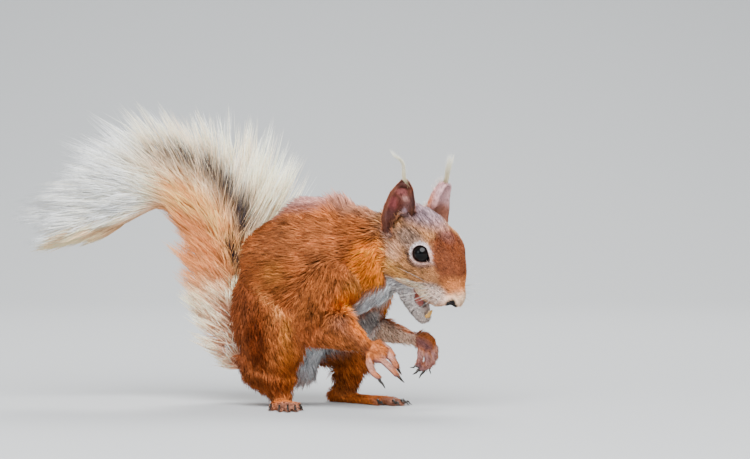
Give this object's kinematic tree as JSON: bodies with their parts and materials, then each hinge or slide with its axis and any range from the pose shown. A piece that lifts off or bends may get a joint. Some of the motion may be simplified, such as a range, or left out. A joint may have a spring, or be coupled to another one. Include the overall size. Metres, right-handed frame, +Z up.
{
  "type": "red squirrel, life-size still model",
  "caption": "Crouching red squirrel with tufted ears, open mouth, raised forepaws and a bushy tail arched up behind.",
  "frame": {"origin": "middle of the model's box, on the floor under the feet", "axes": "+X along the whole model from the tail's tip to the nose, +Y away from the side that the right flank shows, +Z up"},
  "size_m": [0.2072, 0.0894, 0.1409],
  "materials": {
    "coat_russet": "dense russet fur over flesh",
    "coat_orange": "short orange fur over flesh",
    "coat_tail": "long loose hair round a thin tail, cream over tan",
    "coat_tuft": "long pale hairs",
    "ear_inside": "thin skin with down on it",
    "paw_skin": "bare and thinly haired skin",
    "mouth_lining": "moist",
    "eye_gloss": "wet black",
    "claw_horn": "polished dark horn",
    "tooth_enamel": "orange enamel"
  },
  "bodies": {
    "root": {"trunk": "coat_russet", "neck": "coat_russet", "head": "coat_russet", "lower_jaw": "coat_orange", "tongue": "mouth_lining", "upper_incisors": "tooth_enamel", "lower_incisors": "tooth_enamel", "tail_base": "coat_tail", "tail_middle": "coat_tail", "tail_tip": "coat_tail", "right_ear": "ear_inside", "left_ear": "ear_inside", "right_ear_tuft": "coat_tuft", "left_ear_tuft": "coat_tuft", "right_eye": "eye_gloss", "left_eye": "eye_gloss", "right_thigh": "coat_russet", "left_thigh": "coat_russet", "right_shank": "coat_russet", "left_shank": "coat_russet", "right_foot": "coat_orange", "left_foot": "coat_orange", "right_upper_arm": "coat_russet", "left_upper_arm": "coat_russet", "right_forearm": "coat_orange", "left_forearm": "coat_orange", "right_hand": "paw_skin", "left_hand": "paw_skin", "right_toe_claw_1": "claw_horn", "right_toe_claw_2": "claw_horn", "right_toe_claw_3": "claw_horn", "right_toe_claw_4": "claw_horn", "right_toe_claw_5": "claw_horn", "left_toe_claw_1": "claw_horn", "left_toe_claw_2": "claw_horn", "left_toe_claw_3": "claw_horn", "left_toe_claw_4": "claw_horn", "left_toe_claw_5": "claw_horn", "right_finger_claw_1": "claw_horn", "right_finger_claw_2": "claw_horn", "right_finger_claw_3": "claw_horn", "right_finger_claw_4": "claw_horn", "left_finger_claw_1": "claw_horn", "left_finger_claw_2": "claw_horn", "left_finger_claw_3": "claw_horn", "left_finger_claw_4": "claw_horn"}
  },
  "joints": []
}
